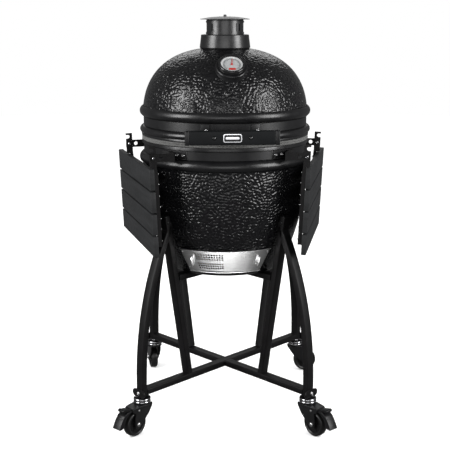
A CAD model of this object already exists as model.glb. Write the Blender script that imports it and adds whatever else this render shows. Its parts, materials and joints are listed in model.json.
"""Looks of the kamado grill: fine surfaces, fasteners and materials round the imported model.

Units are metres. The pot's axis is x = y = 0, the floor is z = 0 and the front faces -Y.
The lid, the bands, the hinge and the tables are made straight in the hardware's frame,
which is turned about the pot's axis. Each shape is a pair of a vertex list and a face list.
"""
import json
from math import asin, atan2, cos, hypot, pi, radians, sin, sqrt

import bmesh
import bpy
from mathutils import Matrix, Vector


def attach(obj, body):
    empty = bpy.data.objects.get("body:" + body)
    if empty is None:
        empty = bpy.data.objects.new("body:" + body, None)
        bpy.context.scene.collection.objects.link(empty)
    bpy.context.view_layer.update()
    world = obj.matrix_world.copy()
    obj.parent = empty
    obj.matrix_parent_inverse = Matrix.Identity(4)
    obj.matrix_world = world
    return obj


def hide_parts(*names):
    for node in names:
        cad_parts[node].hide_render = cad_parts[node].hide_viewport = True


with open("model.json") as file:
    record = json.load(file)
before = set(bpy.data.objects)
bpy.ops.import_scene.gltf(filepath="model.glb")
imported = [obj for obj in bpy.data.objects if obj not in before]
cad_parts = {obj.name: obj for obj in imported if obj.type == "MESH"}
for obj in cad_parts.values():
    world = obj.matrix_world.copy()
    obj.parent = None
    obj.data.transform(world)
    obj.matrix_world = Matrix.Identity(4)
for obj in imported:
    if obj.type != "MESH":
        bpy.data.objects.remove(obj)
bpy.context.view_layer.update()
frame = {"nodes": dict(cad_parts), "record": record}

# ---------------------------------------------------------------- dimensions of the solids
HARDWARE = Matrix.Rotation(radians(3.6), 4, "Z")
PLAIN = Matrix.Identity(4)
ROOT2 = sqrt(2)
TUBE_WIDE, TUBE_DEEP, TUBE_CORNER = 0.030, 0.020, 0.0035
LEG_FOOT, LEG_JOIN, LEG_BOW, LEG_BOW_POWER = 0.2555, 0.645, 0.0875, 2.3
STRUT_FOOT, STRUT_SLOPE, STRUT_TOP = 0.1205, 0.1178, 0.668
CROSS_TOP = 0.1415
CROSS_BOTTOM = CROSS_TOP - TUBE_DEEP
CRADLE_TOP = 0.4780
WHEEL_RADIUS, WHEEL_WIDE, CASTER_TRAIL, FORK_WIDE = 0.040, 0.024, 0.034, 0.036
CROWN_TOP = 0.0975
CASTERS = {
    "front_left": (-1, -1, radians(230)),
    "front_right": (1, -1, radians(310)),
    "rear_left": (-1, 1, radians(105)),
    "rear_right": (1, 1, radians(10)),
}
SEAM, GASKET_THICK, GASKET_OUTER, GASKET_INNER = 0.8920, 0.0065, 0.2615, 0.2400
WALL = 0.022
BASE_RADIUS, BASE_CENTRE, BASE_DEPTH = 0.2600, 0.8200, 0.4720
BASE_BOTTOM, BASE_FLOOR = 0.4785, 0.5000
BAND_RADIUS, BAND_SHEET = 0.2555, 0.0018
BASE_BAND, LID_BAND = (0.8475, 0.8728), (0.9290, 0.9560)
CLAMP_START, CLAMP_WIDE, CLAMP_BOLTS = radians(29.7), radians(11.2), (radians(2.5), radians(7.3))
BASE_BULGE = (0.8288, 0.2690, 0.0175)
LID_BULGE = (0.9728, 0.2668, 0.0170)
LID_LIP = (0.9165, 0.2667, 0.0115)
DOME_RADIUS, DOME_CENTRE, DOME_HEIGHT, DOME_POWER = 0.2580, 0.9400, 0.2250, 2.5
CHIMNEY_HOLE = 0.0520
BOX_RADIUS, BOX_WALL, BOX_TOP, RING_TOP = 0.2000, 0.022, 0.7100, 0.8620
GRATE_RADIUS, GRATE_THICK = 0.2270, 0.0080
COAL_GRATE_RADIUS, COAL_GRATE_Z = 0.1180, 0.5520
DRAFT_TOP, DRAFT_BOTTOM = 0.5690, 0.4960
DRAFT_TOP_RADIUS, DRAFT_BOTTOM_RADIUS = 0.2230, 0.1950
DRAFT_TOP_HALF, DRAFT_BOTTOM_HALF = 0.1395, 0.1070
DRAFT_SHEET, DOOR_SHEET, DOOR_GAP = 0.0020, 0.0014, 0.0006
DRAFT_LIP, FRAME_EDGE, FRAME_END = 0.0080, 0.0085, 0.0180
COLLAR = ((0.0742, 1.2034), (0.0784, 1.1620))
SLEEVE_RADIUS, SLEEVE_SHEET, SLEEVE_TOP = 0.0588, 0.0014, 1.2445
WINDOW_HALF, WINDOW = 0.0430, (1.2110, 1.2390)
CAP_RADIUS, CAP_RIM, CAP_TOP = 0.0760, 1.2485, 1.2575
GAUGE_ELEVATION, GAUGE_TURN = radians(50), radians(2.0)
GAUGE_RADIUS, GAUGE_THICK = 0.0395, 0.0120
BOSS_RADIUS, BOSS_PROUD = 0.0470, 0.0075
HANDLE_WIDE, HANDLE_TALL, HANDLE_DEEP = 0.2680, 0.0410, 0.0220
HANDLE_Z, HANDLE_FRONT, BRACKET_X = 0.9265, -0.3410, 0.0730
HINGE_Y, HINGE_Z = 0.3230, 0.8800
TABLE_TOE, TABLE_LEAN, TABLE_LENGTH = radians(14.4), radians(2.4), 0.4380
TABLE_MIDDLE, TABLE_TOP = (0.2900, -0.0520), 0.8260
SLATS, SLAT_TALL, SLAT_THICK, SLAT_GAP = 4, 0.0622, 0.0150, 0.0050
PIVOT_IN, PIVOT_UP, PIVOTS = 0.0148, 0.0321, (0.0113, 0.3273)

DOOR_HOLE = 0.39                # radius of the mesh door's holes, as a share of a cell
LINED_RADIUS = 0.245            # faces of a hollow within this radius are its lining

# ---------------------------------------------------------------- relief of the glaze
STROKE_SCALE, STROKE_WAVES, STROKE_ORDER, STROKE_RELIEF = 52.0, 2.0, 0.0, 0.0016

# ---------------------------------------------------------------- camera and light
CAMERA_BACK, CAMERA_UP, CAMERA_PITCH, CAMERA_LENS = 2.918, 1.2719, radians(77.02), 74.08
WHITE_ROOM, DIM_ROOM = 1.0, 0.17    # brightness of the room to the camera and to the pieces
FLOOR_LIGHT, FLOOR_RADIUS = 3.7, 9.0
LAMPS = (                       # name, place, aim, width, height, watts
    ("key_left", (-2.4, -1.35, 1.65), (0.0, 0.0, 0.90), 1.2, 2.2, 120.0),
    ("key_right", (2.4, -1.35, 1.65), (0.0, 0.0, 0.90), 1.2, 2.2, 120.0),
    ("back", (0.0, 2.8, 2.2), (0.0, 0.0, 0.8), 2.0, 1.0, 10.0),
    ("front", (0.0, -3.6, 1.30), (0.0, 0.0, 0.70), 2.6, 1.7, 42.0),
    ("door_glow", (0.0, -1.0, 0.03), (0.0, -0.3, 0.53), 1.3, 0.45, 46.0),
)


# ---------------------------------------------------------------- shapes
def join(*shapes):
    """Several shapes as one."""
    verts, faces = [], []
    for more_verts, more_faces in shapes:
        start = len(verts)
        verts += more_verts
        faces += [tuple(i + start for i in face) for face in more_faces]
    return verts, faces


def moved(shape, matrix):
    return [matrix @ Vector(v) for v in shape[0]], shape[1]


def lathe(profile, steps=128, closed=False):
    """A profile of (radius, z) points turned about Z."""
    verts = []
    for r, z in profile:
        verts += [(r * cos(2 * pi * j / steps), r * sin(2 * pi * j / steps), z) for j in range(steps)]
    faces = []
    rows = len(profile)
    for i in range(rows if closed else rows - 1):
        a, b = i * steps, (i + 1) % rows * steps
        faces += [(b + j, b + (j + 1) % steps, a + (j + 1) % steps, a + j) for j in range(steps)]
    return verts, faces


def arc(centre, radius, start, end, steps):
    """Points on an arc, with its angles in degrees."""
    angles = [radians(start + (end - start) * i / steps) for i in range(steps + 1)]
    return [(centre[0] + radius * cos(a), centre[1] + radius * sin(a)) for a in angles]


def rounded_loop(wide, tall, radius, steps=5):
    """A rectangle with rounded corners about the origin."""
    x, y = wide / 2 - radius, tall / 2 - radius
    corners = ((x, y, 0), (-x, y, 90), (-x, -y, 180), (x, -y, 270))
    loop = []
    for cx, cy, start in corners:
        loop += arc((cx, cy), radius, start, start + 90, steps)
    return loop


def softened(points, radius, steps=3):
    """An outline whose corners are cut by short curves."""
    loop = []
    count = len(points)
    for i, point in enumerate(points):
        here = Vector(point)
        before, after = Vector(points[i - 1]), Vector(points[(i + 1) % count])
        cut = min(radius, (before - here).length * 0.45, (after - here).length * 0.45)
        start = here + (before - here).normalized() * cut
        end = here + (after - here).normalized() * cut
        for k in range(steps + 1):
            t = k / steps
            loop.append(tuple(start * (1 - t) ** 2 + here * 2 * t * (1 - t) + end * t * t))
    return loop


def sheet(outlines, thick, edge=0.0):
    """A flat outline with holes, extruded about the XY plane, with its edges rounded."""
    curve = bpy.data.curves.new("outline", "CURVE")
    curve.dimensions = "2D"
    curve.fill_mode = "BOTH"
    curve.extrude = thick / 2 - edge
    curve.bevel_depth = edge
    curve.bevel_resolution = 2
    curve.offset = -edge
    for outline in outlines:
        spline = curve.splines.new("POLY")
        spline.points.add(len(outline) - 1)
        for point, (x, y) in zip(spline.points, outline):
            point.co = (x, y, 0.0, 1.0)
        spline.use_cyclic_u = True
    guide = bpy.data.objects.new("outline", curve)
    bpy.context.scene.collection.objects.link(guide)
    mesh = bpy.data.meshes.new_from_object(guide.evaluated_get(bpy.context.evaluated_depsgraph_get()))
    bpy.data.objects.remove(guide, do_unlink=True)
    bpy.data.curves.remove(curve)
    shape = [tuple(v.co) for v in mesh.vertices], [tuple(p.vertices) for p in mesh.polygons]
    bpy.data.meshes.remove(mesh)
    return shape


def block(low, high, edge=0.001, segments=3):
    """A box between two corners, with rounded edges."""
    bm = bmesh.new()
    bmesh.ops.create_cube(bm, size=1.0)
    bmesh.ops.scale(bm, vec=Vector(high) - Vector(low), verts=bm.verts)
    bmesh.ops.translate(bm, vec=(Vector(high) + Vector(low)) / 2, verts=bm.verts)
    bmesh.ops.bevel(bm, geom=bm.edges[:], offset=edge, segments=segments, profile=0.5, affect="EDGES")
    bm.verts.index_update()
    shape = [tuple(v.co) for v in bm.verts], [tuple(v.index for v in f.verts) for f in bm.faces]
    bm.free()
    return shape


def sweep(path, section, across):
    """A section of (across, normal) points carried along a path that is square to across."""
    path, across = [Vector(p) for p in path], Vector(across).normalized()
    verts = []
    for i, point in enumerate(path):
        tangent = (path[min(i + 1, len(path) - 1)] - path[max(i - 1, 0)]).normalized()
        normal = tangent.cross(across)
        verts += [point + across * u + normal * v for u, v in section]
    n = len(section)
    faces = [tuple(range(n))[::-1], tuple(range(len(verts) - n, len(verts)))]
    for i in range(len(path) - 1):
        a, b = i * n, (i + 1) * n
        faces += [(a + j, a + (j + 1) % n, b + (j + 1) % n, b + j) for j in range(n)]
    return verts, faces


def bent_bar(loop, start, end, steps=24):
    """A closed strip: a loop of (radius, z) points carried round Z, where angle 0 is the front."""
    verts, faces, count = [], [], len(loop)
    for i in range(steps + 1):
        angle = start + (end - start) * i / steps
        verts += [Vector((sin(angle) * radius, -cos(angle) * radius, z)) for radius, z in loop]
    for i in range(steps):
        for j in range(count):
            here, there, k = i * count, (i + 1) * count, (j + 1) % count
            faces.append((here + j, there + j, there + k, here + k))
    faces.append(tuple(range(count)))
    faces.append(tuple(steps * count + j for j in range(count)))
    return verts, faces


def wire(path, radius, sides=10, closed=False):
    """A round wire along any path."""
    path = [Vector(p) for p in path]
    count = len(path)
    verts, faces = [], []
    normal = Vector((0.123, 0.456, 0.789))
    for i, point in enumerate(path):
        after = path[(i + 1) % count] if closed else path[min(i + 1, count - 1)]
        before = path[i - 1] if closed or i else path[0]
        tangent = (after - before).normalized()
        normal = (normal - tangent * normal.dot(tangent)).normalized()
        side = tangent.cross(normal)
        verts += [point + (normal * cos(2 * pi * j / sides) + side * sin(2 * pi * j / sides)) * radius
                  for j in range(sides)]
    for i in range(count if closed else count - 1):
        a, b = i * sides, (i + 1) % count * sides
        faces += [(a + j, a + (j + 1) % sides, b + (j + 1) % sides, b + j) for j in range(sides)]
    if not closed:
        faces += [tuple(range(sides))[::-1], tuple(range(len(verts) - sides, len(verts)))]
    return verts, faces


def facing(origin, across, up):
    """A frame whose X is across, whose Y is near up and whose Z is square to both."""
    across = Vector(across).normalized()
    out = across.cross(Vector(up)).normalized()
    turn = Matrix((across, out.cross(across), out)).transposed().to_4x4()
    return Matrix.Translation(origin) @ turn


def pointing(origin, out):
    """A frame whose Z points out."""
    out = Vector(out).normalized()
    up = Vector((0, 0, 1)) if abs(out.z) < 0.95 else Vector((0, 1, 0))
    return facing(origin, up.cross(out), up)


def button_head(radius, tall):
    """A domed screw head with a round socket."""
    socket = radius * 0.42
    rim = [(radius * cos(a), tall * sin(a)) for a in (0.0, 0.35, 0.7, 1.0)]
    profile = [(0, tall * 0.45), (socket, tall * 0.45), (socket, tall * 0.93), (socket * 1.15, tall)]
    return lathe(profile + rim[::-1] + [(radius, -tall * 0.2)], 24)


def hex_head(radius, tall):
    """A hexagon bolt head on a washer."""
    head = lathe([(0, tall), (radius * 0.80, tall), (radius, tall * 0.82), (radius, tall * 0.2)], 6)
    washer = lathe([(0, tall * 0.24), (radius * 1.25, tall * 0.24), (radius * 1.32, tall * 0.14),
                    (radius * 1.32, -tall * 0.1)], 28)
    return join(head, washer)


# ---------------------------------------------------------------- objects
def mesh_of(shape, matrix=PLAIN, sharp=35):
    """A mesh with merged points, outward faces and smooth shading."""
    mesh = bpy.data.meshes.new("shape")
    verts, faces = moved(shape, matrix)
    mesh.from_pydata([tuple(v) for v in verts], [], faces)
    bm = bmesh.new()
    bm.from_mesh(mesh)
    bmesh.ops.remove_doubles(bm, verts=bm.verts, dist=0.000002)
    bmesh.ops.recalc_face_normals(bm, faces=bm.faces)
    bm.to_mesh(mesh)
    bm.free()
    mesh.shade_smooth()
    mesh.set_sharp_from_angle(angle=radians(sharp))
    return mesh


def make(name, shape, finish, body, nodes=(), matrix=PLAIN, cuts=(), sharp=35):
    """Makes a piece of the object, cuts other shapes out of it and lets it ride on a body."""
    mesh = mesh_of(shape, matrix, sharp)
    obj = bpy.data.objects.new(name, mesh)
    bpy.context.scene.collection.objects.link(obj)
    if cuts:
        carve(obj, [mesh_of(cut, matrix) for cut in cuts], sharp)
    obj.data.name = name
    obj.data.materials.clear()
    obj.data.materials.append(finish)
    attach(obj, body)
    if nodes:
        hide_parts(*nodes)
    return obj


def line_inside(obj, finish, heart):
    """Gives the faces that look towards a point, the heart of a hollow, another material."""
    obj.data.materials.append(finish)
    for face in obj.data.polygons:
        inward = face.normal.dot(face.center - Vector(heart)) < 0
        if inward and hypot(face.center.x, face.center.y) < LINED_RADIUS:
            face.material_index = 1


def carve(obj, cutters, sharp):
    """Subtracts meshes from an object and keeps the result as its mesh."""
    guides = []
    for mesh in cutters:
        guide = bpy.data.objects.new("cut", mesh)
        bpy.context.scene.collection.objects.link(guide)
        guides.append(guide)
        cut = obj.modifiers.new("cut", "BOOLEAN")
        cut.operation = "DIFFERENCE"
        cut.object = guide
        cut.solver = "EXACT"
    depsgraph = bpy.context.evaluated_depsgraph_get()
    result = bpy.data.meshes.new_from_object(obj.evaluated_get(depsgraph))
    obj.modifiers.clear()
    obj.data = result
    result.shade_smooth()
    result.set_sharp_from_angle(angle=radians(sharp))
    for guide in guides:
        bpy.data.objects.remove(guide, do_unlink=True)


# ---------------------------------------------------------------- materials
class Nodes:
    """Builds the node tree of one Principled material."""

    def __init__(self, name, colour, roughness, metallic=0.0, **sockets):
        self.material = bpy.data.materials.new(name)
        self.material.use_nodes = True
        self.tree = self.material.node_tree
        self.shader = self.tree.nodes["Principled BSDF"]
        self.shader.inputs["Base Color"].default_value = (*colour, 1.0)
        self.shader.inputs["Roughness"].default_value = roughness
        self.shader.inputs["Metallic"].default_value = metallic
        for key, value in sockets.items():
            self.shader.inputs[key.replace("_", " ")].default_value = value

    def add(self, kind, **values):
        """A node with its properties and inputs set by name."""
        node = self.tree.nodes.new("ShaderNode" + kind)
        for key, value in values.items():
            if hasattr(value, "is_output"):
                self.tree.links.new(value, node.inputs[key])
            elif key in node.inputs:
                node.inputs[key].default_value = value
            else:
                setattr(node, key, value)
        return node

    def place(self, scale=(1, 1, 1)):
        """Object coordinates, stretched by scale."""
        coordinates = self.add("TexCoord")
        mapping = self.add("Mapping", Vector=coordinates.outputs["Object"])
        mapping.inputs["Scale"].default_value = scale
        return mapping.outputs["Vector"]

    def noise(self, scale, detail=3.0, stretch=(1, 1, 1), distortion=0.0):
        node = self.add("TexNoise", Vector=self.place(stretch), Scale=scale, Detail=detail,
                        Distortion=distortion)
        return node.outputs["Fac"]

    def spread(self, factor, low, high, start=0.3, end=0.7):
        """Maps a factor from start..end to low..high."""
        node = self.add("MapRange", Value=factor)
        for key, value in (("From Min", start), ("From Max", end), ("To Min", low), ("To Max", high)):
            node.inputs[key].default_value = value
        return node.outputs["Result"]

    def colours(self, factor, low, high, start=0.3, end=0.7):
        """Base colour between two colours by a factor."""
        ramp = self.add("ValToRGB", Fac=factor)
        first, last = ramp.color_ramp.elements
        first.position, last.position = start, end
        first.color, last.color = (*low, 1.0), (*high, 1.0)
        self.tree.links.new(ramp.outputs["Color"], self.shader.inputs["Base Color"])

    def roughness(self, factor, low, high, start=0.3, end=0.7):
        self.tree.links.new(self.spread(factor, low, high, start, end), self.shader.inputs["Roughness"])

    def bump(self, height, depth, strength=1.0):
        """Adds a bump of a height field on top of the earlier ones."""
        node = self.add("Bump", Height=height, Strength=strength, Distance=depth)
        earlier = self.shader.inputs["Normal"]
        if earlier.is_linked:
            self.tree.links.new(earlier.links[0].from_socket, node.inputs["Normal"])
        self.tree.links.new(node.outputs["Normal"], self.shader.inputs["Normal"])


def coated(name, low, high, rough=(0.38, 0.50), grain=900.0, depth=0.00006, metallic=0.0, gloss=0.32):
    """Powder coat, moulded plastic and the like: cloudy colour over a fine grain."""
    made = Nodes(name, low, rough[0], metallic, Specular_IOR_Level=gloss)
    cloud = made.noise(14.0, 4.0)
    made.colours(cloud, low, high)
    made.roughness(made.noise(55.0, 3.0), *rough)
    made.bump(made.noise(grain, 2.0), depth)
    return made.material


def brushed(name, low, high, rough, stretch, metallic=1.0):
    """Metal with a fine straight brush."""
    made = Nodes(name, low, rough[0], metallic)
    streak = made.noise(1500.0, 3.0, stretch)
    made.colours(streak, low, high)
    made.roughness(streak, *rough)
    made.bump(streak, 0.000004)
    return made.material


def plated(name, colour, rough=(0.07, 0.16)):
    """Bright plated metal with faint wear."""
    made = Nodes(name, colour, rough[0], 1.0)
    made.colours(made.noise(60.0, 4.0), tuple(c * 0.86 for c in colour), colour)
    made.roughness(made.noise(160.0, 4.0), *rough)
    return made.material


def textured_glaze():
    """Gloss black glaze over short raised strokes whose direction wanders."""
    made = Nodes("black_glaze_textured", (0.007, 0.007, 0.008), 0.2, 0.0, Specular_IOR_Level=0.34)
    waves = made.add("TexGabor", gabor_type="3D", Vector=made.place(), Scale=STROKE_SCALE,
                     Frequency=STROKE_WAVES, Anisotropy=STROKE_ORDER)
    height = made.spread(waves.outputs["Value"], 0.0, 1.0, 0.36, 0.66)
    made.colours(height, (0.0025, 0.0025, 0.0030), (0.0060, 0.0060, 0.0065), 0.2, 0.9)
    made.roughness(made.noise(40.0, 3.0), 0.17, 0.27)
    made.bump(height, STROKE_RELIEF)
    made.bump(made.noise(700.0, 2.0), 0.00003)
    return made.material


def smooth_glaze():
    """The same glaze on the moulded rings, where it is plain."""
    made = Nodes("black_glaze_smooth", (0.008, 0.008, 0.009), 0.3, 0.0, Specular_IOR_Level=0.34)
    made.colours(made.noise(18.0, 4.0), (0.0035, 0.0035, 0.0040), (0.0065, 0.0065, 0.0070))
    made.roughness(made.noise(30.0, 3.0), 0.26, 0.38)
    made.bump(made.noise(60.0, 2.0), 0.00025)
    return made.material


def clay(name, low, high):
    """Unglazed fire clay with grog and soot."""
    made = Nodes(name, low, 0.9)
    made.colours(made.noise(22.0, 6.0), low, high)
    made.roughness(made.noise(90.0, 3.0), 0.8, 0.95)
    made.bump(made.noise(260.0, 5.0), 0.0006)
    return made.material


def composite():
    """Dark grey moulded boards with a faint grain along their length."""
    made = Nodes("board_grey", (0.05, 0.05, 0.052), 0.6, 0.0, Specular_IOR_Level=0.2)
    grain = made.noise(60.0, 5.0, (0.35, 0.05, 1.0), 0.3)
    made.colours(grain, (0.010, 0.0105, 0.011), (0.017, 0.0175, 0.0185))
    made.roughness(made.noise(120.0, 3.0), 0.50, 0.64)
    made.bump(grain, 0.00018, 0.6)
    made.bump(made.noise(1100.0, 2.0), 0.00005)
    return made.material


def woven():
    """Grey glass-fibre rope."""
    made = Nodes("gasket_weave", (0.45, 0.45, 0.44), 0.9, 0.0, Sheen_Weight=0.2)
    made.colours(made.noise(420.0, 3.0), (0.018, 0.018, 0.018), (0.115, 0.115, 0.11))
    made.roughness(made.noise(300.0, 2.0), 0.75, 0.95)
    made.bump(made.noise(1400.0, 2.0, (1, 1, 0.4)), 0.0003)
    return made.material


def clear_glass():
    made = Nodes("gauge_glass_clear", (0.02, 0.02, 0.02), 0.03, 0.0, Alpha=0.14)
    made.roughness(made.noise(90.0, 3.0), 0.02, 0.06)
    return made.material


def printed(name, colour, rough=0.5):
    """Printed or enamelled paint with a faint mottle."""
    made = Nodes(name, colour, rough)
    made.colours(made.noise(220.0, 3.0), tuple(c * 0.93 for c in colour), colour)
    made.roughness(made.noise(180.0, 2.0), rough * 0.9, min(1.0, rough * 1.1))
    made.bump(made.noise(900.0, 2.0), 0.00002)
    return made.material


GLAZE = textured_glaze()
GLAZE_PLAIN = smooth_glaze()
STEEL = coated("powder_black", (0.0030, 0.0028, 0.0030), (0.0055, 0.0052, 0.0055), (0.36, 0.46),
               gloss=0.16)
BAND_STEEL = coated("band_black", (0.0040, 0.0040, 0.0045), (0.0070, 0.0070, 0.0075), (0.34, 0.44),
                    gloss=0.22)
VENT = coated("vent_black", (0.0045, 0.0045, 0.0050), (0.0075, 0.0075, 0.0080), (0.28, 0.36), 500.0, 0.00003,
              gloss=0.45)
CASTER = coated("caster_black", (0.0045, 0.0045, 0.0050), (0.0080, 0.0080, 0.0085), (0.26, 0.36),
                gloss=0.28)
PEDAL = coated("pedal_black", (0.0040, 0.0040, 0.0043), (0.0065, 0.0065, 0.0070), (0.28, 0.40),
               700.0, 0.00008, gloss=0.22)
TYRE = coated("tyre_black", (0.005, 0.005, 0.005), (0.009, 0.009, 0.009), (0.30, 0.42), 600.0, 0.00006,
              gloss=0.3)
HANDLE = coated("handle_grey", (0.0026, 0.0030, 0.0034), (0.0042, 0.0048, 0.0054), (0.44, 0.54),
                1000.0, 0.00006,
                gloss=0.12)
CAP_GREY = coated("cap_grey", (0.010, 0.0105, 0.011), (0.016, 0.0165, 0.0175), (0.32, 0.42),
                  500.0, 0.00003, 0.3)
BOARD = composite()
STAINLESS = brushed("stainless_brushed", (0.29, 0.29, 0.29), (0.37, 0.37, 0.37), (0.30, 0.38),
                    (0.03, 0.03, 1.0))
SPRING = brushed("spring_wire", (0.34, 0.34, 0.35), (0.50, 0.50, 0.51), (0.26, 0.38), (1, 1, 1))
BOLT = plated("dark_zinc", (0.34, 0.34, 0.35), (0.18, 0.30))
CHROME = plated("chrome_plate", (0.34, 0.34, 0.35), (0.14, 0.24))
ZINC = plated("zinc_plate", (0.50, 0.50, 0.50), (0.20, 0.32))
BEZEL = coated("bezel_black", (0.006, 0.006, 0.0065), (0.010, 0.010, 0.0105), (0.10, 0.18), 300.0, 0.00001,
               gloss=0.5)
IRON = coated("cast_iron", (0.030, 0.030, 0.030), (0.060, 0.057, 0.054), (0.62, 0.78), 500.0, 0.0004, 0.3)
CLAY = clay("fire_clay", (0.22, 0.18, 0.14), (0.36, 0.30, 0.24))
SOOTED = clay("sooted_clay", (0.030, 0.027, 0.024), (0.080, 0.072, 0.064))
GASKET = woven()
DIAL = printed("dial_face", (0.54, 0.555, 0.56))
DIAL_RING = printed("dial_ring", (0.80, 0.81, 0.81), 0.4)
TICK = printed("tick_grey", (0.03, 0.032, 0.035), 0.5)
RED = printed("needle_red", (0.62, 0.035, 0.025), 0.35)
PLATE = brushed("plate_silver", (0.62, 0.63, 0.65), (0.80, 0.81, 0.83), (0.20, 0.30), (1.0, 0.1, 0.1), 0.3)
GLASS = clear_glass()


# ---------------------------------------------------------------- stand
def strut_at(z):
    return STRUT_FOOT + STRUT_SLOPE * (z - CROSS_TOP)


def leg_at(z):
    share = max(0.0, (z - CROSS_TOP) / (LEG_JOIN - CROSS_TOP))
    return LEG_FOOT - LEG_BOW * share ** LEG_BOW_POWER


def corner_point(side_x, side_y, spread, z):
    return Vector((side_x * spread, side_y * spread, z))


def make_leg(corner):
    """Curved leg and strut, with their end caps, foot plate and bolts."""
    side_x, side_y, _ = CASTERS[corner]
    out = Vector((side_x, side_y, 0)).normalized()
    across = Vector((-side_y, side_x, 0)).normalized()
    section = rounded_loop(TUBE_WIDE, TUBE_DEEP, TUBE_CORNER)
    steps = 44
    heights = [CROSS_BOTTOM + (LEG_JOIN - CROSS_BOTTOM) * i / steps for i in range(steps + 1)]
    curved = sweep([corner_point(side_x, side_y, leg_at(z), z) for z in heights], section, across)
    ends = (CROSS_TOP + 0.0003, STRUT_TOP)
    strut = sweep([corner_point(side_x, side_y, strut_at(z), z) for z in ends], section, across)
    top = corner_point(side_x, side_y, strut_at(STRUT_TOP), STRUT_TOP)
    lean = (top - corner_point(side_x, side_y, strut_at(ends[0]), ends[0])).normalized()
    make(corner + "_leg_tubes", join(curved, strut), STEEL, "stand_and_base", [corner + "_leg"])
    cap = moved(block((-0.0132, -0.0082, -0.004), (0.0132, 0.0082, 0.0018), 0.0015),
                Matrix.Translation(top) @ facing((0, 0, 0), across, lean.cross(across)))
    make(corner + "_strut_cap", cap, PEDAL, "stand_and_base", ())
    reach = ROOT2 * LEG_FOOT + TUBE_DEEP / 2
    middle = CROSS_BOTTOM + 0.0085
    loop = arc((0.016, 0), 0.012, -90, 90, 12) + arc((-0.016, 0), 0.012, 90, 270, 12)
    face = out * (reach + 0.0022) + Vector((0, 0, middle))
    oval = moved(sheet([loop], 0.0046, 0.0008), facing(face, Vector((0, 0, 1)).cross(out), (0, 0, 1)))
    make(corner + "_foot_plate", oval, STEEL, "stand_and_base", ())
    bolt = moved(button_head(0.0062, 0.0042), pointing(face + out * 0.0022, out))
    make(corner + "_foot_bolt", bolt, ZINC, "stand_and_base", ())
    side_bolts = []
    centre = corner_point(side_x, side_y, strut_at(0.650), 0.650)
    for sign in (-1, 1):
        side_bolts.append(moved(button_head(0.0058, 0.0036),
                                pointing(centre + across * sign * TUBE_WIDE / 2, across * sign)))
    make(corner + "_pot_bolts", join(*side_bolts), CASTER, "stand_and_base", ())


def make_cross(name, node, top, reach):
    """Two crossed tubes with the weld where they meet."""
    section = rounded_loop(TUBE_WIDE, TUBE_DEEP, TUBE_CORNER)
    level = Vector((0, 0, top - TUBE_DEEP / 2))
    side = TUBE_WIDE / 2 - 0.0006
    through, across = Vector((1, 1, 0)).normalized(), Vector((1, -1, 0)).normalized()
    tubes = [sweep([level - through * reach, level + through * reach], section, across)]
    for end in (-1, 1):
        tubes.append(sweep([level + across * end * side, level + across * end * reach], section, through))
    make(name, join(*tubes), STEEL, "stand_and_base", [node])


def make_stand():
    for corner in CASTERS:
        make_leg(corner)
    make_cross("lower_cross_tubes", "lower_cross", CROSS_TOP, ROOT2 * LEG_FOOT - TUBE_DEEP / 2 - 0.0003)
    lean = sqrt(1 + 2 * STRUT_SLOPE ** 2)
    face = ROOT2 * strut_at(CRADLE_TOP - TUBE_DEEP) - TUBE_DEEP / 2 * lean
    make_cross("pot_cradle_tubes", "pot_cradle", CRADLE_TOP, face - 0.0003)


# ---------------------------------------------------------------- casters
def cheek_outline():
    """One side of the fork."""
    axle = (CASTER_TRAIL, WHEEL_RADIUS)
    raw = ([(-0.027, CROWN_TOP - 0.001), (-0.027, 0.086), (-0.012, 0.064)]
           + arc(axle, 0.0135, 205, 370, 14) + [(0.0475, 0.060), (0.0440, 0.078), (0.0560, 0.084),
                                                (0.0560, CROWN_TOP - 0.001)])
    return softened(raw, 0.004, 3)


def race_profile():
    """Plated ball race: two pressed rings with the balls' groove between them."""
    low, high = CROWN_TOP - 0.0005, CROSS_BOTTOM - 0.0005
    return ([(0.0, high), (0.0105, high), (0.0115, high - 0.0040), (0.0125, high - 0.0048)]
            + arc((0.0225, high - 0.0092), 0.0042, 90, -30, 7)
            + [(0.0232, high - 0.0138)] + arc((0.0226, high - 0.0176), 0.0040, 60, -60, 6)
            + [(0.0220, low), (0.0, low)])


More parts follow.
